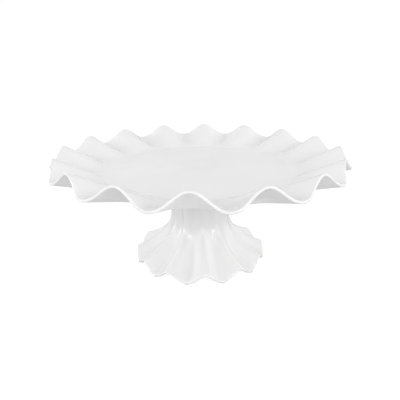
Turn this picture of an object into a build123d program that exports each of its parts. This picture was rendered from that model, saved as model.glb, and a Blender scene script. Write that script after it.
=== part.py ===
from build123d import *
import os
from math import pi, sin, cos, hypot, sqrt

# ---------------------------------------------------------------------------
# Ruffled cake stand: a round plate with a waved flange on a hollow fluted
# pedestal, clamped together by one central screw from below.
# Millimetres, +Z up.  The origin is the centre of the foot, on the table.
# Angles run from the front (-Y) towards +X.
# ---------------------------------------------------------------------------

# --- overall -----------------------------------------------------------------
rim_r        = 155.0     # mean radius of the plate's lip
lip_z        = 121.8     # mean height of the lip above the table

# --- plate ---------------------------------------------------------------------
waves        = 16        # waves round the flange
wave_turn    = -1.335    # degrees, turn of the first crest from the front
wave_z1      = 7.49      # height of the wave at the lip (half of crest to trough)
wave_z2      = 1.05      # second harmonic: sharper crests, flatter troughs
wave_r1      = -3.55     # the lip stands in at the crests and out at the troughs
wave_r2      = 0.19
wave_t       = 0.0154    # radians, crests a little wider than troughs
well_r       = 105.8     # flat well
well_z       = 106.0     # top of the well above the table
disc_r       = 108.5     # flat base disc under the plate
disc_z       = 98.24     # underside of the base disc
lip_t        = 2.6       # thickness at the lip, fully rounded

# --- spigot under the plate, with the screw's insert ---------------------------
spigot_r     = 13.0
spigot_z     = 91.75     # lower end of the spigot
insert_r     = 4.4       # outside of the threaded insert
insert_len   = 9.4
insert_pit_z = 101.6     # blind end of the pit for the insert
thread_hole_r = 3.06     # plain bore that stands for the tapped M6 hole

# --- pedestal --------------------------------------------------------------------
flutes       = 12
flute_turn   = 5.168     # degrees, turn of the first arch from the front
flute_amp    = 4.6       # depth of the fluting at the foot edge (half)
flute_pow    = 1.58      # how fast the fluting deepens from the neck down
crown_z      = 97.24     # top of the crown, under the gasket
crown_t      = 6.0       # thickness of the crown
crown_hole_r = 13.5      # hole for the spigot
# profile of the outside: (radius, height above the table), crown to foot edge
ped_profile  = [(37.0, 97.24), (34.0, 88.0), (32.6, 76.0), (32.3, 62.5),
                (33.2, 46.3), (42.9, 28.6), (57.8, 15.5), (75.1, 7.05)]
wall_neck    = 4.2
wall_foot    = 3.2

# --- clamp hardware ---------------------------------------------------------------
gasket_r_out, gasket_r_in = 32.0, 15.0
cushion_t, cushion_r_out, cushion_r_in = 1.5, 19.0, 14.2
washer_t, washer_r_out, washer_r_in    = 1.6, 19.0, 3.3
screw_r, screw_tip_z = 3.0, 100.0
head_r, head_h       = 6.5, 4.0
slot_w, slot_d       = 1.6, 1.8

# --- pads under the foot ------------------------------------------------------------
pad_t, pad_len, pad_w = 0.8, 4.4, 2.2

os.makedirs("parts", exist_ok=True)


def sub(a, b): return (a[0] - b[0], a[1] - b[1], a[2] - b[2])
def add(a, b): return (a[0] + b[0], a[1] + b[1], a[2] + b[2])
def mul(a, k): return (a[0] * k, a[1] * k, a[2] * k)
def cross(a, b):
    return (a[1] * b[2] - a[2] * b[1], a[2] * b[0] - a[0] * b[2], a[0] * b[1] - a[1] * b[0])
def unit(a):
    n = sqrt(a[0] ** 2 + a[1] ** 2 + a[2] ** 2)
    return (a[0] / n, a[1] / n, a[2] / n)


def ring_wire(points):
    """Closed smooth wire through a ring of points."""
    return Wire([Edge.make_spline([Vector(*p) for p in points], periodic=True)])


# --- plate -----------------------------------------------------------------------
def lip(th):
    """Point of the lip's top line at angle th."""
    u = waves * (th - wave_turn * pi / 180)
    r = rim_r + wave_r1 * cos(u) + wave_r2 * cos(2 * u)
    z = lip_z + wave_z1 * cos(u) + wave_z2 * cos(2 * u)
    t = th + wave_t * sin(u)
    return (r * sin(t), -r * cos(t), z)


def ring(th, r, z):
    return (r * sin(th), -r * cos(th), z)


per_wave = 12
n_plate = waves * per_wave
ths = [2 * pi * k / n_plate for k in range(n_plate)]


def plate_rings():
    """Rings of points from the base disc, round the lip, to the well."""
    eps = 1e-3
    rows = []
    top, under, lips = [], [], []
    for th in ths:
        a, b = lip(th), ring(th, well_r, well_z)
        along = unit(sub(a, b))                       # up the flange, outwards
        side = unit(sub(lip(th + eps), lip(th - eps)))
        n = cross(side, along)                        # upwards normal of the flange
        n = unit(mul(n, -1.0 if n[2] < 0 else 1.0))
        h = lip_t / 2
        c = sub(sub(a, mul(n, h)), mul(along, h))     # centre of the rounded lip
        lips.append([add(c, add(mul(n, h * cos(f)), mul(along, h * sin(f))))
                     for f in (0.0, pi / 4, pi / 2, 3 * pi / 4, pi)])
    rows.append([ring(th, disc_r, disc_z) for th in ths])
    for k in (4, 3, 2, 1, 0):
        rows.append([l[k] for l in lips])
    rows.append([ring(th, well_r, well_z) for th in ths])
    return rows


plate = Solid.make_loft([ring_wire(r) for r in plate_rings()], ruled=True)
plate = plate + Pos(0, 0, spigot_z) * Cylinder(
    spigot_r, disc_z + 1.5 - spigot_z, align=(Align.CENTER, Align.CENTER, Align.MIN))
plate = plate - Pos(0, 0, spigot_z - 1) * Cylinder(
    insert_r, insert_pit_z - spigot_z + 1, align=(Align.CENTER, Align.CENTER, Align.MIN))

# --- threaded insert: blind sleeve bonded in the spigot ------------------------------
insert = Pos(0, 0, spigot_z) * Cylinder(
    insert_r, insert_len, align=(Align.CENTER, Align.CENTER, Align.MIN))
insert = insert - Pos(0, 0, spigot_z - 1) * Cylinder(
    thread_hole_r, insert_len + 2, align=(Align.CENTER, Align.CENTER, Align.MIN))

# --- pedestal ------------------------------------------------------------------------
n_ped = flutes * 12
ths_p = [2 * pi * k / n_ped for k in range(n_ped)]


def spline_profile(knots, count):
    """Smooth curve through the profile's knots, resampled evenly by length."""
    e = Edge.make_spline([Vector(r, 0, z) for r, z in knots])
    pts = [e.position_at(i / (count - 1)) for i in range(count)]
    tan = [e.tangent_at(i / (count - 1)) for i in range(count)]
    return [((p.X, p.Z), (t.X, t.Z)) for p, t in zip(pts, tan)]


n_rows = 22
profile = spline_profile(ped_profile, n_rows)
neck_z = 62.0            # the fluting starts here


def outside(i, th):
    (r, z), (tr, tz) = profile[i]
    n = hypot(tr, tz)
    nr, nz = -tz / n, tr / n                 # outwards and upwards
    s = max(0.0, (neck_z - z) / (neck_z - ped_profile[-1][1]))
    w = s ** 6                               # straight up and down at the edge
    nr, nz = nr * (1 - w), nz * (1 - w) + w
    m = hypot(nr, nz)
    d = flute_amp * s ** flute_pow * cos(flutes * (th - flute_turn * pi / 180))
    return ring(th, r + d * nr / m, z + d * nz / m)


def outside_frame(i, th):
    e = 1e-3
    j0, j1 = max(0, i - 1), min(n_rows - 1, i + 1)
    along = unit(sub(outside(j1, th), outside(j0, th)))
    side = unit(sub(outside(i, th + e), outside(i, th - e)))
    n = unit(cross(side, along))
    radial = (sin(th), -cos(th), 0.0)
    if n[0] * radial[0] + n[1] * radial[1] + n[2] * 1.0 < 0:
        n = mul(n, -1)
    return along, n


def pedestal_rings():
    rows = []
    for i in range(n_rows - 1):
        rows.append([outside(i, th) for th in ths_p])
    last = n_rows - 1
    lips = []
    for th in ths_p:
        along, n = outside_frame(last, th)
        h = wall_foot / 2
        c = sub(sub(outside(last, th), mul(n, h)), mul(along, h))
        lips.append([add(c, add(mul(n, h * cos(f)), mul(along, h * sin(f))))
                     for f in (0.0, pi / 4, pi / 2, 3 * pi / 4, pi)])
    for k in range(5):
        rows.append([l[k] for l in lips])
    ceiling = crown_z - crown_t
    for i in range(n_rows - 2, 0, -1):
        z = profile[i][0][1]
        if z > ceiling - 3:
            break
        s = max(0.0, min(1.0, (neck_z - z) / neck_z))
        wall = wall_neck + (wall_foot - wall_neck) * s
        row = []
        for th in ths_p:
            along, n = outside_frame(i, th)
            row.append(sub(outside(i, th), mul(n, wall)))
        rows.append(row)
    r_in = ped_profile[0][0] - 7.0
    rows.append([ring(th, r_in - 0.6, ceiling - 2.2) for th in ths_p])
    rows.append([ring(th, r_in - 2.8, ceiling) for th in ths_p])
    return rows


pedestal = Solid.make_loft([ring_wire(r) for r in pedestal_rings()], ruled=True)
pedestal = pedestal - Pos(0, 0, crown_z - crown_t - 2) * Cylinder(
    crown_hole_r, crown_t + 4, align=(Align.CENTER, Align.CENTER, Align.MIN))
lowest = pedestal.bounding_box().min.Z
print("pedestal lowest before grinding", round(lowest, 3))
# the low points are ground flat, level with the pads' tops
pedestal = pedestal - Pos(0, 0, pad_t) * Box(
    400, 400, 40, align=(Align.CENTER, Align.CENTER, Align.MAX))

# --- gasket, washers, screw -----------------------------------------------------------
def tube(r_out, r_in, z0, z1):
    a = Pos(0, 0, z0) * Cylinder(r_out, z1 - z0, align=(Align.CENTER, Align.CENTER, Align.MIN))
    return a - Pos(0, 0, z0 - 1) * Cylinder(r_in, z1 - z0 + 2, align=(Align.CENTER, Align.CENTER, Align.MIN))


gasket = tube(gasket_r_out, gasket_r_in, crown_z, disc_z)
ceil_z = crown_z - crown_t
cushion = tube(cushion_r_out, cushion_r_in, ceil_z - cushion_t, ceil_z)
washer_top = ceil_z - cushion_t
washer = tube(washer_r_out, washer_r_in, washer_top - washer_t, washer_top)
head_top = washer_top - washer_t
screw = Pos(0, 0, head_top - head_h) * Cylinder(
    head_r, head_h, align=(Align.CENTER, Align.CENTER, Align.MIN))
screw = fillet(screw.edges().group_by(Axis.Z)[0], 1.6)
screw = screw + Pos(0, 0, head_top - 0.5) * Cylinder(
    screw_r, screw_tip_z - head_top + 0.5, align=(Align.CENTER, Align.CENTER, Align.MIN))
screw = chamfer(screw.edges().group_by(Axis.Z)[-1], 0.6)
screw = screw - Pos(0, 0, head_top - head_h + slot_d) * Box(
    4 * head_r, slot_w, 10, align=(Align.CENTER, Align.CENTER, Align.MAX))

# --- pads: one under each low point -----------------------------------------------------
edge_r = ped_profile[-1][0] - wall_foot / 2
pads = []
for k in range(flutes):
    a = flute_turn + 180.0 / flutes + 360.0 / flutes * k
    th = a * pi / 180
    p = extrude(SlotOverall(pad_len, pad_w), pad_t)
    # the slot's long side runs along the foot edge
    pads.append(Pos(edge_r * sin(th), -edge_r * cos(th), 0) * Rot(0, 0, a) * p)
foot_pads = Compound(children=[Solid(p.solids()[0].wrapped) for p in pads])


def put(shape, name, colour):
    shape.label = name
    shape.color = Color(*colour)
    export_step(shape, f"parts/{name}.step")


white = (0.93, 0.93, 0.92)
put(plate, "ruffled_plate", white)
put(pedestal, "fluted_pedestal", white)
put(insert, "threaded_insert", (0.78, 0.62, 0.30))
put(screw, "clamp_screw", (0.70, 0.70, 0.72))
put(washer, "steel_washer", (0.70, 0.70, 0.72))
put(cushion, "cushion_washer", (0.80, 0.80, 0.80))
put(gasket, "joint_gasket", (0.85, 0.85, 0.85))
put(foot_pads, "foot_pads", (0.85, 0.87, 0.88))
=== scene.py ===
import math

import bpy
import numpy as np
from mathutils import Matrix, Vector


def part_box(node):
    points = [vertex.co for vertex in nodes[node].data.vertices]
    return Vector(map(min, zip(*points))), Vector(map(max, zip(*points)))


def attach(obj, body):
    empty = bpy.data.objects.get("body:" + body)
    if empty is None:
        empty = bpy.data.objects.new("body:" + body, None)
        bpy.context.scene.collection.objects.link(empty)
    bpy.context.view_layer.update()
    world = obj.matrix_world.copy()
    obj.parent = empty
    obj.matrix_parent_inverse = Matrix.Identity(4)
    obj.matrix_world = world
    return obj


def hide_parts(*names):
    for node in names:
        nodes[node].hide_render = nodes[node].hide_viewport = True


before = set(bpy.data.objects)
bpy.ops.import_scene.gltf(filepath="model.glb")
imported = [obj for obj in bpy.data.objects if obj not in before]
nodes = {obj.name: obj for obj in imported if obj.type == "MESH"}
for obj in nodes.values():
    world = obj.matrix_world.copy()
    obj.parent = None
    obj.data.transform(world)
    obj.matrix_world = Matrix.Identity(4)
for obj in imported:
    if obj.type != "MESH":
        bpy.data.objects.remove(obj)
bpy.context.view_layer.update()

MM = 0.001
rng = np.random.default_rng(7)

# ---------------------------------------------------------------------------
# Driving sizes, in millimetres, as in the CAD model
# ---------------------------------------------------------------------------
RIM_R, LIP_Z = 155.0, 121.8
WAVES, WAVE_TURN = 16, math.radians(-1.335)
WAVE_Z1, WAVE_Z2, WAVE_R1, WAVE_R2, WAVE_T = 7.49, 1.05, -3.55, 0.19, 0.0154
WELL_R, WELL_Z = 105.8, 106.0
DISC_R, DISC_Z = 108.5, 98.24
LIP_T = 2.6
SPIGOT_R, SPIGOT_Z, PIT_R, PIT_Z = 13.0, 91.75, 4.4, 101.6
WELL_DIP, CREASE, LIP_STEPS, PINCH = 0.45, 4.2, 16, 2.0
NECK_FLUTE, UNDERCUT = 0.55, 0.7

FLUTES, FLUTE_TURN, FLUTE_AMP, FLUTE_POW = 12, math.radians(5.168), 4.6, 1.58
CROWN_Z, CROWN_T, CROWN_HOLE_R = 97.24, 6.0, 13.5
PED_PROFILE = [(37.0, 97.24), (34.0, 88.0), (32.6, 76.0), (32.3, 62.5),
               (33.2, 46.3), (42.9, 28.6), (57.8, 15.5), (75.1, 7.05)]
NECK_Z, WALL_NECK, WALL_FOOT = 62.0, 4.2, 3.2
PAD_T = 0.8


# ---------------------------------------------------------------------------
# Camera: at the photographed viewing angle
# ---------------------------------------------------------------------------
def camera():
    xc, dist, height = 0.069 * RIM_R, 2.646 * RIM_R, 0.6192 * RIM_R + LIP_Z
    pitch, yaw, roll, focal = 0.3531, -0.0256, 0.0098, 380.33
    cp, sp, cy, sy = math.cos(pitch), math.sin(pitch), math.cos(yaw), math.sin(yaw)
    f = np.array([sy * cp, cy * cp, -sp])
    r = np.array([cy, -sy, 0.0])
    d = np.cross(f, r)
    cr, sr = math.cos(roll), math.sin(roll)
    right, down = cr * r + sr * d, -sr * r + cr * d
    data = bpy.data.cameras.new("camera")
    data.sensor_width = 36.0
    data.lens = 36.0 * focal / 400.0
    data.clip_start, data.clip_end = 0.01, 50.0
    cam = bpy.data.objects.new("camera", data)
    bpy.context.scene.collection.objects.link(cam)
    m = Matrix.Identity(4)
    for i in range(3):
        m[i][0], m[i][1], m[i][2] = right[i], -down[i], -f[i]
    m[0][3], m[1][3], m[2][3] = xc * MM, -dist * MM, height * MM
    cam.matrix_world = m
    bpy.context.scene.camera = cam


camera()


# ---------------------------------------------------------------------------
# Mesh helpers
# ---------------------------------------------------------------------------
def unit(a):
    return a / np.linalg.norm(a, axis=-1, keepdims=True)


def ring_pts(th, r, z):
    """Points at angle th (from -Y towards +X), radius r and height z, in mm."""
    r, z = np.broadcast_to(r, th.shape), np.broadcast_to(z, th.shape)
    return np.stack([r * np.sin(th), -r * np.cos(th), z], -1)


def skin(name, rows, cap_first=False, cap_last=False):
    """A mesh round the Z axis: rows of points in mm, each the same length, joined by quads.
    A capped end closes to one point on the axis."""
    n = len(rows[0])
    verts = np.concatenate(rows) * MM
    faces = []
    k = np.arange(n)
    k1 = (k + 1) % n
    for i in range(len(rows) - 1):
        a, b = i * n, (i + 1) * n
        faces.append(np.stack([a + k, a + k1, b + k1, b + k], -1))
    quads = np.concatenate(faces)
    tris = []
    extra = []
    if cap_first:
        extra.append([0.0, 0.0, rows[0][:, 2].mean() * MM])
        c = len(verts) + len(extra) - 1
        tris.append(np.stack([np.full(n, c), k1, k], -1))
    if cap_last:
        extra.append([0.0, 0.0, rows[-1][:, 2].mean() * MM])
        c = len(verts) + len(extra) - 1
        a = (len(rows) - 1) * n
        tris.append(np.stack([np.full(n, c), a + k, a + k1], -1))
    if extra:
        verts = np.concatenate([verts, np.array(extra)])
    face_list = quads.tolist() + (np.concatenate(tris).tolist() if tris else [])
    me = bpy.data.meshes.new(name)
    me.from_pydata(verts.tolist(), [], face_list)
    me.validate()
    me.update()
    # outward normals: the signed volume is positive
    me.polygons.foreach_set("use_smooth", [True] * len(me.polygons))
    if signed_volume(me) < 0:
        me.flip_normals()
    me.update()
    ob = bpy.data.objects.new(name, me)
    bpy.context.scene.collection.objects.link(ob)
    return ob


def signed_volume(me):
    me.calc_loop_triangles()
    n = len(me.loop_triangles)
    t = np.empty(n * 3, dtype=np.int32)
    me.loop_triangles.foreach_get("vertices", t)
    co = np.empty(len(me.vertices) * 3)
    me.vertices.foreach_get("co", co)
    co = co.reshape(-1, 3)[t.reshape(-1, 3)]
    return float(np.einsum("ij,ij->i", co[:, 0], np.cross(co[:, 1], co[:, 2])).sum() / 6)


def rounded(points, radii, steps=5):
    """An (r, z) outline with its corners rounded. radii has one number per corner,
    0 for the ends and for corners that stay sharp."""
    out = []
    p = [np.array(q, float) for q in points]
    for i, q in enumerate(p):
        rad = radii[i]
        if rad <= 0 or i in (0, len(p) - 1):
            out.append(q)
            continue
        a, b = unit(p[i - 1] - q), unit(p[i + 1] - q)
        ang = math.acos(float(np.clip(a @ b, -1, 1)))
        t = rad / math.tan(ang / 2)
        t = min(t, 0.45 * np.linalg.norm(p[i - 1] - q), 0.45 * np.linalg.norm(p[i + 1] - q))
        rr = t * math.tan(ang / 2)
        c = q + unit(a + b) * (rr / math.sin(ang / 2))
        s, e = q + a * t, q + b * t
        a0 = math.atan2(*(s - c)[::-1])
        a1 = math.atan2(*(e - c)[::-1])
        while a1 - a0 > math.pi:
            a1 -= 2 * math.pi
        while a1 - a0 < -math.pi:
            a1 += 2 * math.pi
        for k in range(steps + 1):
            w = a0 + (a1 - a0) * k / steps
            out.append(c + rr * np.array([math.cos(w), math.sin(w)]))
    return out


def lathe(name, points, radii, n=96, steps=5, closed=True):
    """A turned piece from an (r, z) outline in mm."""
    th = np.linspace(0, 2 * math.pi, n, endpoint=False)
    prof = rounded(points, radii, steps)
    rows = [ring_pts(th, q[0], q[1]) for q in prof]
    if closed:
        rows.append(rows[0].copy())
    ob = skin(name, rows)
    if closed:
        weld(ob)
    return ob


def weld(ob, dist=1e-6):
    import bmesh
    bm = bmesh.new()
    bm.from_mesh(ob.data)
    bmesh.ops.remove_doubles(bm, verts=bm.verts, dist=dist)
    bmesh.ops.recalc_face_normals(bm, faces=bm.faces)
    bm.to_mesh(ob.data)
    bm.free()
    ob.data.update()


# ---------------------------------------------------------------------------
# Ruffled plate
# ---------------------------------------------------------------------------
def lip(th):
    u = WAVES * (th - WAVE_TURN)
    r = RIM_R + WAVE_R1 * np.cos(u) + WAVE_R2 * np.cos(2 * u)
    z = LIP_Z + WAVE_Z1 * np.cos(u) + WAVE_Z2 * np.cos(2 * u)
    t = th + WAVE_T * np.sin(u)
    return np.stack([r * np.sin(t), -r * np.cos(t), z], -1)


def plate():
    th = np.linspace(0, 2 * math.pi, WAVES * 48, endpoint=False)
    a, b = lip(th), ring_pts(th, WELL_R, WELL_Z)
    e = 1e-4
    along = unit(a - b)
    side = unit(lip(th + e) - lip(th - e))
    n = unit(np.cross(side, along))
    n *= np.sign(n[:, 2:3])
    h = LIP_T / 2
    inset = h + 0.19                       # keeps the soft corners inside the lip's half round
    c = a - n * inset - along * inset
    rows = []
    # well, from its centre: a very slight dish over the pedestal, as fired ware has
    for r in (1.0, 6, 12, 17, 21, 24, 27, 30, 34, 40, 50, 60, 68, 76, 82, 87, 91, 94.5):
        dip = WELL_DIP * 0.5 * (1 + math.cos(math.pi * min(1.0, r / 31.0)))
        rows.append(ring_pts(th, r, WELL_Z - dip))
    # up the flange: the floor curves up over CREASE each side of the well's edge, then
    # the flange runs straight to the lip
    top_end = c + n * h
    rise = top_end - b
    trough = (1 - np.cos(WAVES * (th - WAVE_TURN))) / 2
    for d in (-8.5, -7.2, -6.2, -5.2, -4.2, -3.2, -2.2, -1.2, -0.2, 0.8, 1.8, 2.8, 3.8, 4.8,
              5.8, 6.8, 8.2, 10, 12.5, 15, 18, 21, 24, 27, 30, 33, 36, 39, 42, 44.5, 46.5, 48):
        up = 0.0 if d <= -CREASE else d if d >= CREASE else (d + CREASE) ** 2 / (4 * CREASE)
        q = b + rise * np.array([d / 51.0, d / 51.0, up / 51.0])
        # the channels pinch in half way up the flange
        x = min(max((d + CREASE) / (51.0 + CREASE), 0.0), 1.0)
        q[:, 2] -= PINCH * math.sin(math.pi * x ** 1.35) ** 2 * (trough ** 3 - 0.18)
        rows.append(q)
    rows.append(top_end)
    # lip: a full edge with soft corners
    for k in range(1, LIP_STEPS):
        f = math.pi * k / LIP_STEPS
        cf, sf = math.cos(f), math.sin(f)
        rows.append(c + n * (h * math.copysign(abs(cf) ** 0.80, cf)) + along * (h * sf ** 0.80))
    under_end = c - n * h
    rows.append(under_end)
    # underside of the flange, down to the base disc
    disc = ring_pts(th, DISC_R, DISC_Z)
    for x in (0.04, 0.09, 0.15, 0.22, 0.3, 0.38, 0.46, 0.54, 0.62, 0.7, 0.77, 0.83, 0.88, 0.92):
        rows.append(under_end + (disc - under_end) * x)
    # rounded edge of the disc
    p0 = under_end + (disc - under_end) * 0.92
    p2 = ring_pts(th, DISC_R - 4.0, DISC_Z)
    for k in range(1, 8):
        w = k / 8
        rows.append((1 - w) ** 2 * p0 + 2 * w * (1 - w) * disc + w * w * p2)
    rows.append(p2)
    for r in (100, 90, 78, 66, 54, 42, 34, 28, 22, 17):
        rows.append(ring_pts(th, r, DISC_Z))
    # spigot and the pit for the insert
    for q in rounded([(17, DISC_Z), (SPIGOT_R, DISC_Z), (SPIGOT_R, SPIGOT_Z), (PIT_R, SPIGOT_Z),
                      (PIT_R, PIT_Z), (1.0, PIT_Z)], [0, 1.2, 0.8, 0.3, 0.3, 0], 4)[1:]:
        rows.append(ring_pts(th, q[0], q[1]))
    ob = skin("plate_glazed", rows, cap_first=True, cap_last=True)
    return ob


# ---------------------------------------------------------------------------
# Fluted pedestal
# ---------------------------------------------------------------------------
def natural_spline(t, y):
    """Natural cubic spline through y(t); returns a function."""
    t, y = np.asarray(t, float), np.asarray(y, float)
    n = len(t)
    h = np.diff(t)
    A = np.zeros((n, n))
    rhs = np.zeros(n)
    A[0, 0] = A[-1, -1] = 1
    for i in range(1, n - 1):
        A[i, i - 1], A[i, i], A[i, i + 1] = h[i - 1], 2 * (h[i - 1] + h[i]), h[i]
        rhs[i] = 6 * ((y[i + 1] - y[i]) / h[i] - (y[i] - y[i - 1]) / h[i - 1])
    m = np.linalg.solve(A, rhs)

    def f(x):
        x = np.asarray(x, float)
        i = np.clip(np.searchsorted(t, x) - 1, 0, n - 2)
        a, b = t[i + 1] - x, x - t[i]
        return (m[i] * a ** 3 + m[i + 1] * b ** 3) / (6 * h[i]) + \
            (y[i] / h[i] - m[i] * h[i] / 6) * a + (y[i + 1] / h[i] - m[i + 1] * h[i] / 6) * b
    return f


PK = np.array(PED_PROFILE)
PT = np.concatenate([[0], np.cumsum(np.linalg.norm(np.diff(PK, axis=0), axis=1))])
PR, PZ = natural_spline(PT, PK[:, 0]), natural_spline(PT, PK[:, 1])


def outside(t, th):
    """Point of the pedestal's outside at distance t down its profile."""
    r, z = float(PR(t)), float(PZ(t))
    e = 1e-3
    tr, tz = float(PR(t + e) - PR(t - e)), float(PZ(t + e) - PZ(t - e))
    l = math.hypot(tr, tz)
    nr, nz = -tz / l, tr / l
    s = max(0.0, (NECK_Z - z) / (NECK_Z - PED_PROFILE[-1][1]))
    w = min(s, 1.0) ** 6
    nr, nz = nr * (1 - w), nz * (1 - w) + w
    m = math.hypot(nr, nz)
    u = FLUTES * (th - FLUTE_TURN)
    # the flutes run on up the neck, very shallow, and fade out under the crown
    up = min(1.0, max(0.0, (z - 22.0) / 26.0)) * min(1.0, max(0.0, (95.5 - z) / 7.0))
    d = math.hypot(FLUTE_AMP * s ** FLUTE_POW, NECK_FLUTE * up) * np.cos(u)
    return ring_pts(th, r + d * nr / m, z + d * nz / m)


def frame_at(t, th):
    e = 0.05
    along = unit(outside(t + e, th) - outside(t - e, th))
    side = unit(outside(t, th + 1e-4) - outside(t, th - 1e-4))
    n = unit(np.cross(side, along))
    out = np.stack([np.sin(th), -np.cos(th), np.ones_like(th)], -1)
    n *= np.sign(np.sum(n * out, -1, keepdims=True))
    return along, n


def pedestal():
    th = np.linspace(0, 2 * math.pi, FLUTES * 52, endpoint=False)
    T = PT[-1]
    rows = []
    for q in rounded([(20, CROWN_Z - CROWN_T), (CROWN_HOLE_R, CROWN_Z - CROWN_T),
                      (CROWN_HOLE_R, CROWN_Z), (24, CROWN_Z)], [0, 0.4, 0.4, 0], 4):
        rows.append(ring_pts(th, q[0], q[1]))
    # crown's top edge, rounded, then down the outside
    r0 = PED_PROFILE[0][0]
    t_start = 1.6
    p2 = outside(t_start, th)
    p0, p1 = ring_pts(th, r0 - 1.6, CROWN_Z), ring_pts(th, r0 - 0.1, CROWN_Z)
    rows.append(ring_pts(th, 30, CROWN_Z))
    for k in range(0, 6):
        w = k / 6
        rows.append((1 - w) ** 2 * p0 + 2 * w * (1 - w) * p1 + w * w * p2)
    for t in np.concatenate([np.linspace(t_start, 40, 16)[:-1],
                             np.linspace(40, T - WALL_FOOT / 2 - 0.3, 52)]):
        rows.append(outside(float(t), th))
    along, n = frame_at(T - 0.06, th)
    h = WALL_FOOT / 2
    c = outside(T, th) - n * h - along * h
    # the outside reaches the lip's half round
    rows.append(c + n * h)
    for k in range(1, 14):
        f = math.pi * k / 14
        rows.append(c + n * (h * math.cos(f))
                    + along * (h * math.sin(f) - UNDERCUT * (1 - math.cos(f)) / 2))
    rows.append(c - n * h - along * UNDERCUT)
    ceiling = CROWN_Z - CROWN_T
    for t in np.linspace(T - h - UNDERCUT - 0.6, 16.0, 46):
        z = float(PZ(t))
        s = min(1.0, max(0.0, (NECK_Z - z) / NECK_Z))
        wall = WALL_NECK + (WALL_FOOT - WALL_NECK) * s
        _, n = frame_at(float(t), th)
        rows.append(outside(float(t), th) - n * wall)
    last = rows[-1]
    r_last = float(np.linalg.norm(last[:, :2], axis=1).mean())
    z_last = float(last[:, 2].mean())
    for q in rounded([(r_last, z_last), (r_last + 0.4, ceiling), (20, ceiling)], [0, 4.0, 0], 7)[1:]:
        rows.append(ring_pts(th, q[0], q[1]))
    # the low points are ground flat where the pads sit
    for row in rows:
        row[:, 2] = np.maximum(row[:, 2], PAD_T)
    ob = skin("pedestal_glazed", rows)
    weld(ob, 1e-7)
    return ob


# ---------------------------------------------------------------------------
# Clamp hardware
# ---------------------------------------------------------------------------
def clamp_screw():
    """Coin-slot screw: pan head with a sawn slot, turned shank with a rolled M6 thread."""
    lo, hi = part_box("clamp_screw")
    z0, z1 = lo[2] / MM, hi[2] / MM
    head_top = z0 + 4.0
    th = np.linspace(0, 2 * math.pi, 72, endpoint=False)
    rows = []
    # thread: crest 3.0, root 2.40, pitch 1, as a height field on the shank
    for q in rounded([(1.0, z0), (6.5, z0), (6.5, head_top), (3.0, head_top)], [0, 1.6, 0.25, 0], 6)[:-1]:
        rows.append(ring_pts(th, q[0], q[1]))
    rows.append(ring_pts(th, 3.0, head_top))
    rows.append(ring_pts(th, 2.98, head_top + 0.4))
    zs = np.arange(head_top + 1.2, z1 - 0.1, 1.0 / 10)
    for z in zs:
        ph = (z - th / (2 * math.pi)) % 1.0
        tri = np.clip(1.25 * (1 - np.abs(2 * ph - 1)) - 0.12, 0, 1)
        fade = min(1.0, (z - head_top - 1.0) / 1.0, 1.0)
        end = 0.0 if z < z1 - 0.9 else (z - z1 + 0.9) * 0.75
        r = 3.0 - (0.6 * (1 - tri)) * max(0.0, fade)
        rows.append(ring_pts(th, np.minimum(r, 3.0 - end), z))
    rows.append(ring_pts(th, 2.1, z1))
    ob = skin("clamp_screw_turned", rows, cap_first=True, cap_last=True)
    # slot, cut with a box
    me = bpy.data.meshes.new("slot_cutter")
    x, y, za, zb = 9.0, 0.8, z0 - 1.0, z0 + 1.8
    v = [(-x, -y, za), (x, -y, za), (x, y, za), (-x, y, za), (-x, -y, zb), (x, -y, zb), (x, y, zb), (-x, y, zb)]
    me.from_pydata([[a * MM for a in p] for p in v], [],
                   [(0, 3, 2, 1), (4, 5, 6, 7), (0, 1, 5, 4), (1, 2, 6, 5), (2, 3, 7, 6), (3, 0, 4, 7)])
    cut = bpy.data.objects.new("slot_cutter", me)
    bpy.context.scene.collection.objects.link(cut)
    mod = ob.modifiers.new("slot", "BOOLEAN")
    mod.operation, mod.object, mod.solver = "DIFFERENCE", cut, "EXACT"
    apply_modifiers(ob)
    bpy.data.objects.remove(cut)
    sharpen(ob, 35)
    return ob


def apply_modifiers(ob):
    dg = bpy.context.evaluated_depsgraph_get()
    me = bpy.data.meshes.new_from_object(ob.evaluated_get(dg))
    old = ob.data
    ob.modifiers.clear()
    ob.data = me
    bpy.data.meshes.remove(old)


def sharpen(ob, degrees):
    me = ob.data
    me.polygons.foreach_set("use_smooth", [True] * len(me.polygons))
    me.set_sharp_from_angle(angle=math.radians(degrees))
    me.update()


def washers():
    lo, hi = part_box("steel_washer")
    z0, z1 = lo[2] / MM, hi[2] / MM
    w = lathe("steel_washer_pressed", [(3.3, z0), (19.0, z0), (19.0, z1), (3.3, z1)],
              [0.2, 0.45, 0.45, 0.2], 128, 5)
    lo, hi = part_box("cushion_washer")
    z0, z1 = lo[2] / MM, hi[2] / MM
    c = lathe("cushion_washer_moulded", [(14.2, (z0 + z1) / 2), (14.2, z0), (19.0, z0), (19.0, z1), (14.2, z1)],
              [0, 0.35, 0.5, 0.5, 0.35], 128, 5)
    return w, c


def gasket():
    lo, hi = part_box("joint_gasket")
    z0, z1 = lo[2] / MM, hi[2] / MM
    return lathe("joint_gasket_moulded", [(15.0, (z0 + z1) / 2), (15.0, z0), (32.0, z0), (32.0, z1), (15.0, z1)],
                 [0, 0.2, 0.35, 0.35, 0.2], 192, 5)


# ---------------------------------------------------------------------------
# Materials
# ---------------------------------------------------------------------------
def new_material(name):
    m = bpy.data.materials.new(name)
    m.use_nodes = True
    nt = m.node_tree
    bsdf = nt.nodes["Principled BSDF"]
    return m, nt, bsdf


def node(nt, kind, **inputs):
    n = nt.nodes.new(kind)
    for k, v in inputs.items():
        if k.startswith("_"):
            setattr(n, k[1:], v)
        else:
            n.inputs[k.replace("__", " ")].default_value = v
    return n


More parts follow.
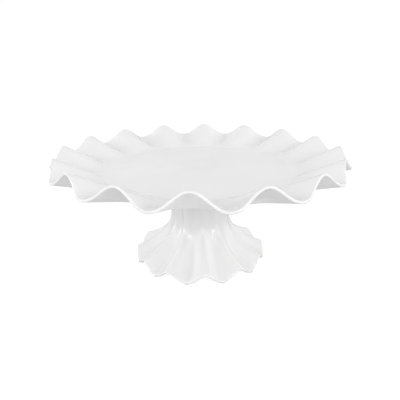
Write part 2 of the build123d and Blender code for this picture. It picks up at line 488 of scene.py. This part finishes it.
def noise(nt, coord, scale, detail=3.0, rough=0.5):
    n = node(nt, "ShaderNodeTexNoise", Scale=scale, Detail=detail, Roughness=rough)
    nt.links.new(coord, n.inputs["Vector"])
    return n.outputs["Fac"]


def ramp(nt, fac, stops):
    n = nt.nodes.new("ShaderNodeValToRGB")
    while len(n.color_ramp.elements) < len(stops):
        n.color_ramp.elements.new(0.5)
    for e, (p, c) in zip(n.color_ramp.elements, stops):
        e.position = p
        e.color = (*c, 1) if len(c) == 3 else c
    nt.links.new(fac, n.inputs["Fac"])
    return n.outputs["Color"]


def remap(nt, fac, a, b, lo=0.0, hi=1.0):
    n = node(nt, "ShaderNodeMapRange", From__Min=lo, From__Max=hi, To__Min=a, To__Max=b)
    nt.links.new(fac, n.inputs["Value"])
    return n.outputs["Result"]


def glaze(name, foot=False):
    """Opaque white glaze over white clay: thinner and duller on the crests and lips, with
    faint orange peel and a few pinholes. In the plate's well a darker round patch is painted into the glaze
    colour: a painted reflection, not a mark in the glaze."""
    m, nt, b = new_material(name)
    geo = nt.nodes.new("ShaderNodeNewGeometry")
    tc = nt.nodes.new("ShaderNodeTexCoord")
    co = tc.outputs["Object"]
    b.inputs["IOR"].default_value = 1.5
    b.inputs["Coat Weight"].default_value = 0.35
    b.inputs["Coat Roughness"].default_value = 0.04
    b.inputs["Subsurface Weight"].default_value = 0.0
    # colour: cloudy white, a shade warmer where the glaze is thin
    cloud = noise(nt, co, 14.0, 3.0, 0.55)
    col = ramp(nt, cloud, [(0.30, (0.802, 0.802, 0.801)), (0.70, (0.828, 0.828, 0.827))])
    point = geo.outputs["Pointiness"]
    thin = remap(nt, point, 0.0, 1.0, 0.505, 0.60)
    mix = node(nt, "ShaderNodeMix", _data_type="RGBA")
    mix.inputs["B"].default_value = (0.695, 0.695, 0.694, 1)
    nt.links.new(thin, mix.inputs["Factor"])
    nt.links.new(col, mix.inputs["A"])
    out_col = mix.outputs["Result"]
    sep = nt.nodes.new("ShaderNodeSeparateXYZ")
    nt.links.new(co, sep.inputs[0])
    if not foot:
        # painted reflection: the glaze colour is darker in a round patch near the middle of the well, set
        # off-centre where the glossy floor reflects something darker
        flat = nt.nodes.new("ShaderNodeCombineXYZ")
        nt.links.new(sep.outputs["X"], flat.inputs["X"])
        nt.links.new(sep.outputs["Y"], flat.inputs["Y"])
        painted_reflection_dist = node(nt, "ShaderNodeVectorMath", _operation="DISTANCE")
        nt.links.new(flat.outputs[0], painted_reflection_dist.inputs[0])
        painted_reflection_dist.inputs[1].default_value = (0.003, 0.012, 0.0)
        painted_reflection_mask = remap(nt, painted_reflection_dist.outputs["Value"], 0.42, 0.0, 0.020, 0.029)
        painted_reflection_mix = node(nt, "ShaderNodeMix", _data_type="RGBA")
        painted_reflection_mix.inputs["B"].default_value = (0.765, 0.765, 0.765, 1)
        nt.links.new(painted_reflection_mask, painted_reflection_mix.inputs["Factor"])
        nt.links.new(out_col, painted_reflection_mix.inputs["A"])
        out_col = painted_reflection_mix.outputs["Result"]
    # pinholes and specks, sparse and small
    vor = node(nt, "ShaderNodeTexVoronoi", Scale=260.0, Randomness=1.0)
    nt.links.new(co, vor.inputs["Vector"])
    speck = remap(nt, vor.outputs["Distance"], 1.0, 0.0, 0.012, 0.035)
    pick = noise(nt, co, 90.0, 1.0, 0.5)
    keep = remap(nt, pick, 0.0, 1.0, 0.66, 0.70)
    both = node(nt, "ShaderNodeMath", _operation="MULTIPLY")
    nt.links.new(speck, both.inputs[0])
    nt.links.new(keep, both.inputs[1])
    mix2 = node(nt, "ShaderNodeMix", _data_type="RGBA")
    mix2.inputs["B"].default_value = (0.62, 0.60, 0.56, 1)
    nt.links.new(both.outputs[0], mix2.inputs["Factor"])
    nt.links.new(out_col, mix2.inputs["A"])
    out_col = mix2.outputs["Result"]
    rough_noise = noise(nt, co, 32.0, 4.0, 0.6)
    rough = remap(nt, rough_noise, 0.12, 0.17, 0.3, 0.7)
    peel = noise(nt, co, 95.0, 2.0, 0.45)
    slow = noise(nt, co, 22.0, 2.0, 0.5)
    add = node(nt, "ShaderNodeMath", _operation="MULTIPLY_ADD")
    nt.links.new(slow, add.inputs[0])
    add.inputs[1].default_value = 3.0
    nt.links.new(peel, add.inputs[2])
    hole = node(nt, "ShaderNodeMath", _operation="MULTIPLY_ADD")
    nt.links.new(both.outputs[0], hole.inputs[0])
    hole.inputs[1].default_value = -1.5
    nt.links.new(add.outputs[0], hole.inputs[2])
    bump = node(nt, "ShaderNodeBump", Strength=0.18, Distance=0.0004)
    nt.links.new(hole.outputs[0], bump.inputs["Height"])
    if foot:
        # the ground contact flats at the bottom are bare clay
        bare = remap(nt, sep.outputs["Z"], 1.0, 0.0, 0.00085, 0.0016)
        grain = noise(nt, co, 900.0, 3.0, 0.6)
        clay = ramp(nt, grain, [(0.3, (0.70, 0.66, 0.60)), (0.7, (0.80, 0.77, 0.71))])
        mix3 = node(nt, "ShaderNodeMix", _data_type="RGBA")
        nt.links.new(bare, mix3.inputs["Factor"])
        nt.links.new(out_col, mix3.inputs["A"])
        nt.links.new(clay, mix3.inputs["B"])
        out_col = mix3.outputs["Result"]
        mixr = node(nt, "ShaderNodeMix", _data_type="FLOAT")
        nt.links.new(bare, mixr.inputs["Factor"])
        nt.links.new(rough, mixr.inputs["A"])
        mixr.inputs["B"].default_value = 0.85
        rough = mixr.outputs["Result"]
    nt.links.new(out_col, b.inputs["Base Color"])
    nt.links.new(rough, b.inputs["Roughness"])
    nt.links.new(bump.outputs["Normal"], b.inputs["Normal"])
    return m


def silicone(name, base, clear=0.0):
    m, nt, b = new_material(name)
    tc = nt.nodes.new("ShaderNodeTexCoord")
    co = tc.outputs["Object"]
    n1 = noise(nt, co, 160.0, 3.0, 0.6)
    lo = tuple(c * 0.94 for c in base)
    nt.links.new(ramp(nt, n1, [(0.3, lo), (0.7, base)]), b.inputs["Base Color"])
    nt.links.new(remap(nt, noise(nt, co, 420.0, 3.0, 0.6), 0.38, 0.55), b.inputs["Roughness"])
    bump = node(nt, "ShaderNodeBump", Strength=0.25, Distance=0.0001)
    nt.links.new(noise(nt, co, 1400.0, 2.0, 0.5), bump.inputs["Height"])
    nt.links.new(bump.outputs["Normal"], b.inputs["Normal"])
    b.inputs["IOR"].default_value = 1.41
    b.inputs["Transmission Weight"].default_value = clear
    return m


def metal(name, base, dark, rough, brushed=400.0):
    m, nt, b = new_material(name)
    tc = nt.nodes.new("ShaderNodeTexCoord")
    co = tc.outputs["Object"]
    b.inputs["Metallic"].default_value = 1.0
    n1 = noise(nt, co, 260.0, 4.0, 0.6)
    nt.links.new(ramp(nt, n1, [(0.3, dark), (0.7, base)]), b.inputs["Base Color"])
    # fine turning marks: rings about the axis
    sep = nt.nodes.new("ShaderNodeSeparateXYZ")
    nt.links.new(co, sep.inputs[0])
    comb = nt.nodes.new("ShaderNodeCombineXYZ")
    ln = nt.nodes.new("ShaderNodeVectorMath")
    ln.operation = "LENGTH"
    flat = nt.nodes.new("ShaderNodeCombineXYZ")
    nt.links.new(sep.outputs["X"], flat.inputs["X"])
    nt.links.new(sep.outputs["Y"], flat.inputs["Y"])
    nt.links.new(flat.outputs[0], ln.inputs[0])
    nt.links.new(ln.outputs["Value"], comb.inputs["X"])
    nt.links.new(sep.outputs["Z"], comb.inputs["Z"])
    rings = noise(nt, comb.outputs[0], brushed * 12, 2.0, 0.7)
    nt.links.new(remap(nt, rings, rough - 0.07, rough + 0.10, 0.3, 0.7), b.inputs["Roughness"])
    bump = node(nt, "ShaderNodeBump", Strength=0.2, Distance=0.00005)
    nt.links.new(rings, bump.inputs["Height"])
    nt.links.new(bump.outputs["Normal"], b.inputs["Normal"])
    return m


def paint(ob, mat):
    ob.data.materials.clear()
    ob.data.materials.append(mat)


# ---------------------------------------------------------------------------
# Build
# ---------------------------------------------------------------------------
STAND, WASH, SCREW = "stand", "washers", "screw"

p = plate()
paint(p, glaze("white_glaze_plate"))
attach(p, STAND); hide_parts("ruffled_plate")

q = pedestal()
paint(q, glaze("white_glaze_pedestal", foot=True))
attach(q, STAND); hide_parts("fluted_pedestal")

g = gasket()
paint(g, silicone("silicone_ring", (0.80, 0.80, 0.79)))
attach(g, STAND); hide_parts("joint_gasket")

s = clamp_screw()
paint(s, metal("zinc_screw", (0.66, 0.66, 0.67), (0.50, 0.50, 0.51), 0.28))
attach(s, SCREW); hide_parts("clamp_screw")

w, c = washers()
paint(w, metal("zinc_washer", (0.68, 0.68, 0.69), (0.52, 0.52, 0.53), 0.32))
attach(w, WASH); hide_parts("steel_washer")
paint(c, silicone("silicone_cushion", (0.74, 0.74, 0.73)))
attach(c, WASH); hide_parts("cushion_washer")

paint_cad = {
    "threaded_insert": metal("turned_brass", (0.78, 0.60, 0.30), (0.62, 0.45, 0.20), 0.26),
    "foot_pads": silicone("clear_silicone", (0.90, 0.90, 0.90), clear=0.12),
}
for name, mat in paint_cad.items():
    ob = nodes[name]
    if not ob.data.materials:
        ob.data.materials.append(mat)
    for sl in ob.material_slots:
        sl.link = "OBJECT"
        sl.material = mat


# ---------------------------------------------------------------------------
# Stage and light
# ---------------------------------------------------------------------------
def stage():
    """A white sweep. It shows as plain white with a faint contact shadow."""
    me = bpy.data.meshes.new("floor")
    k = 6.0
    me.from_pydata([(-k, -k, 0), (k, -k, 0), (k, k, 0), (-k, k, 0)], [], [(0, 1, 2, 3)])
    fl = bpy.data.objects.new("floor", me)
    bpy.context.scene.collection.objects.link(fl)
    m = bpy.data.materials.new("floor_white")
    m.use_nodes = True
    nt = m.node_tree
    nt.nodes.clear()
    out = nt.nodes.new("ShaderNodeOutputMaterial")
    path = nt.nodes.new("ShaderNodeLightPath")
    pick = nt.nodes.new("ShaderNodeMixShader")
    nt.links.new(path.outputs["Is Camera Ray"], pick.inputs[0])
    for i, (glow, albedo) in enumerate(((0.35, 0.35), (0.86, 0.24))):
        both = nt.nodes.new("ShaderNodeAddShader")
        em = node(nt, "ShaderNodeEmission", Strength=glow)
        di = node(nt, "ShaderNodeBsdfDiffuse", Color=(albedo, albedo, albedo, 1), Roughness=0.0)
        nt.links.new(em.outputs[0], both.inputs[0])
        nt.links.new(di.outputs[0], both.inputs[1])
        nt.links.new(both.outputs[0], pick.inputs[1 + i])
    nt.links.new(pick.outputs[0], out.inputs["Surface"])
    me.materials.append(m)


stage()


# a white tent: broad soft lobes of light, each (azimuth, elevation, sharpness, strength);
# azimuth runs from the front (-Y) towards +X
LOBES = [
    (-50, 24, 40, 0.42), (-30, 24, 40, 0.38), (-10, 24, 40, 0.30), (30, 24, 40, 0.26),
    (50, 24, 40, 0.14), (-95, 6, 40, 0.54), (36, 17, 36, 0.23), (-45, 32, 24, 0.85),
    (-15, 32, 24, 1.00), (15, 32, 24, 0.23), (45, 32, 24, 0.63), (-40, 50, 14, 0.31),
    (0, 50, 14, 0.34), (40, 50, 14, 0.15), (-66, 28, 20, 0.71), (66, 28, 20, 0.48),
    (-84, 13, 16, 0.26), (84, 13, 16, 0.34), (-80, 38, 12, 0.75), (80, 38, 12, 0.85),
    (110, 9, 13, 0.81), (145, 9, 13, 0.93), (180, 9, 13, 0.48), (215, 9, 13, 0.94),
    (250, 9, 13, 0.99), (122, 36, 9, 0.65), (180, 36, 9, 0.43), (238, 36, 9, 0.47),
    (180, 62, 8, 0.41), (-30, 20, 7, 0.60), (0, 22, 7, 0.37), (30, 20, 7, 0.47),
    (-70, 12, 7, 0.11), (70, 12, 7, 0.92),
]


def aim(az, el):
    a, e = math.radians(az), math.radians(el)
    return Vector((math.sin(a) * math.cos(e), -math.cos(a) * math.cos(e), math.sin(e)))


def tent():
    world = bpy.data.worlds.new("world")
    bpy.context.scene.world = world
    world.use_nodes = True
    nt = world.node_tree
    bg = nt.nodes["Background"]
    bg.inputs["Color"].default_value = (1.0, 1.0, 1.0, 1)
    tc = nt.nodes.new("ShaderNodeTexCoord")
    total = None
    for az, el, sharp, strength in LOBES:
        dot = nt.nodes.new("ShaderNodeVectorMath")
        dot.operation = "DOT_PRODUCT"
        nt.links.new(tc.outputs["Generated"], dot.inputs[0])
        dot.inputs[1].default_value = aim(az, el)
        pos = node(nt, "ShaderNodeMath", _operation="MAXIMUM")
        nt.links.new(dot.outputs["Value"], pos.inputs[0])
        pos.inputs[1].default_value = 0.0
        power = node(nt, "ShaderNodeMath", _operation="POWER")
        nt.links.new(pos.outputs[0], power.inputs[0])
        power.inputs[1].default_value = sharp
        add = node(nt, "ShaderNodeMath", _operation="MULTIPLY_ADD")
        nt.links.new(power.outputs[0], add.inputs[0])
        add.inputs[1].default_value = strength
        if total is None:
            add.inputs[2].default_value = 0.0
        else:
            nt.links.new(total, add.inputs[2])
        total = add.outputs[0]
    nt.links.new(total, bg.inputs["Strength"])
    # the backdrop itself is plain white
    white = nt.nodes.new("ShaderNodeBackground")
    white.inputs["Color"].default_value = (1.0, 1.0, 1.0, 1)
    white.inputs["Strength"].default_value = 1.02
    path = nt.nodes.new("ShaderNodeLightPath")
    mix = nt.nodes.new("ShaderNodeMixShader")
    nt.links.new(path.outputs["Is Camera Ray"], mix.inputs[0])
    nt.links.new(bg.outputs[0], mix.inputs[1])
    nt.links.new(white.outputs[0], mix.inputs[2])
    nt.links.new(mix.outputs[0], nt.nodes["World Output"].inputs["Surface"])


tent()


def strip(name, az, el, wide, high, radiance, dist=1.2):
    """A strip softbox facing the stand: its direction and its angular size in degrees."""
    d = bpy.data.lights.new(name, "AREA")
    d.shape = "RECTANGLE"
    d.size = 2 * dist * math.tan(math.radians(wide / 2))
    d.size_y = 2 * dist * math.tan(math.radians(high / 2))
    d.energy = math.pi * d.size * d.size_y * radiance
    o = bpy.data.objects.new(name, d)
    bpy.context.scene.collection.objects.link(o)
    v = aim(az, el)
    o.location = Vector((0, 0, 0.06)) + v * dist
    o.rotation_mode = "QUATERNION"
    o.rotation_quaternion = (-v).to_track_quat("-Z", "Y")
    o.visible_camera = False
    return o


strip("strip_front", 14, 18, 3.5, 26, 8.0)
strip("strip_left", -84, 8, 7, 16, 9.0)
strip("strip_right", 42, 14, 3.5, 24, 2.0)

bpy.context.scene.view_settings.view_transform = "Standard"
bpy.context.scene.view_settings.look = "None"
